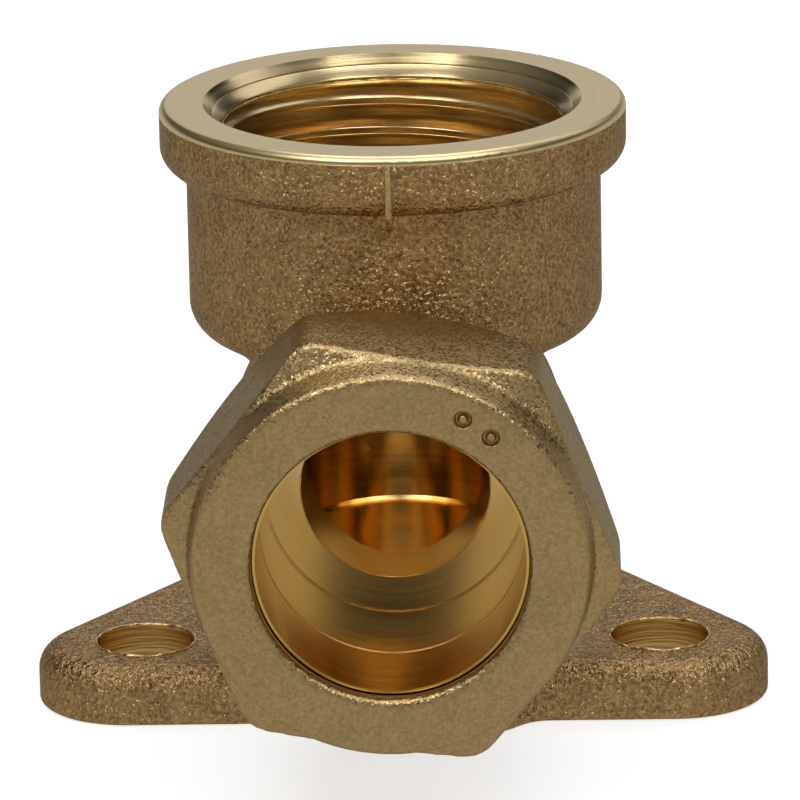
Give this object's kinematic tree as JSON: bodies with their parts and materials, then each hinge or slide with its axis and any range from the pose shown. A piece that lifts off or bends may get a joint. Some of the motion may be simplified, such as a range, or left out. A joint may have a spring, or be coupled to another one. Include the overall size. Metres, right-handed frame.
{
  "type": "wall plate elbow",
  "caption": "Brass wall plate elbow: a compression joint for tube turns into a threaded pipe socket on a three-cornered plate that screws to a wall.",
  "frame": {"origin": "where the pipe socket's axis meets the wall face of the plate", "axes": "+Z out of the wall along the pipe socket, -Y out of the compression port, X across the plate's two front screws"},
  "size_m": [0.0432, 0.0545, 0.0365],
  "materials": {
    "forged_brass": "shot-blasted forging",
    "nut_brass": "satin forging",
    "ring_brass": "turned bright"
  },
  "bodies": {
    "body": {"elbow_body": "forged_brass"},
    "ring": {"olive": "ring_brass"},
    "nut": {"compression_nut": "nut_brass"}
  },
  "joints": [
    {"name": "ring_slide", "type": "slide", "parent": "body", "child": "ring", "axis": [0, -1, 0], "range_m": [0, 0.00301]},
    {"name": "nut_turn", "type": "hinge", "parent": "ring", "child": "nut", "pos_m": [0, -0.0192, 0.01605], "axis": [0, -1, 0], "range_deg": [0, 720]}
  ],
  "couplings": [
    {"joint": "ring_slide", "follows": "nut_turn", "m_per_rad": 0.00023873}
  ]
}
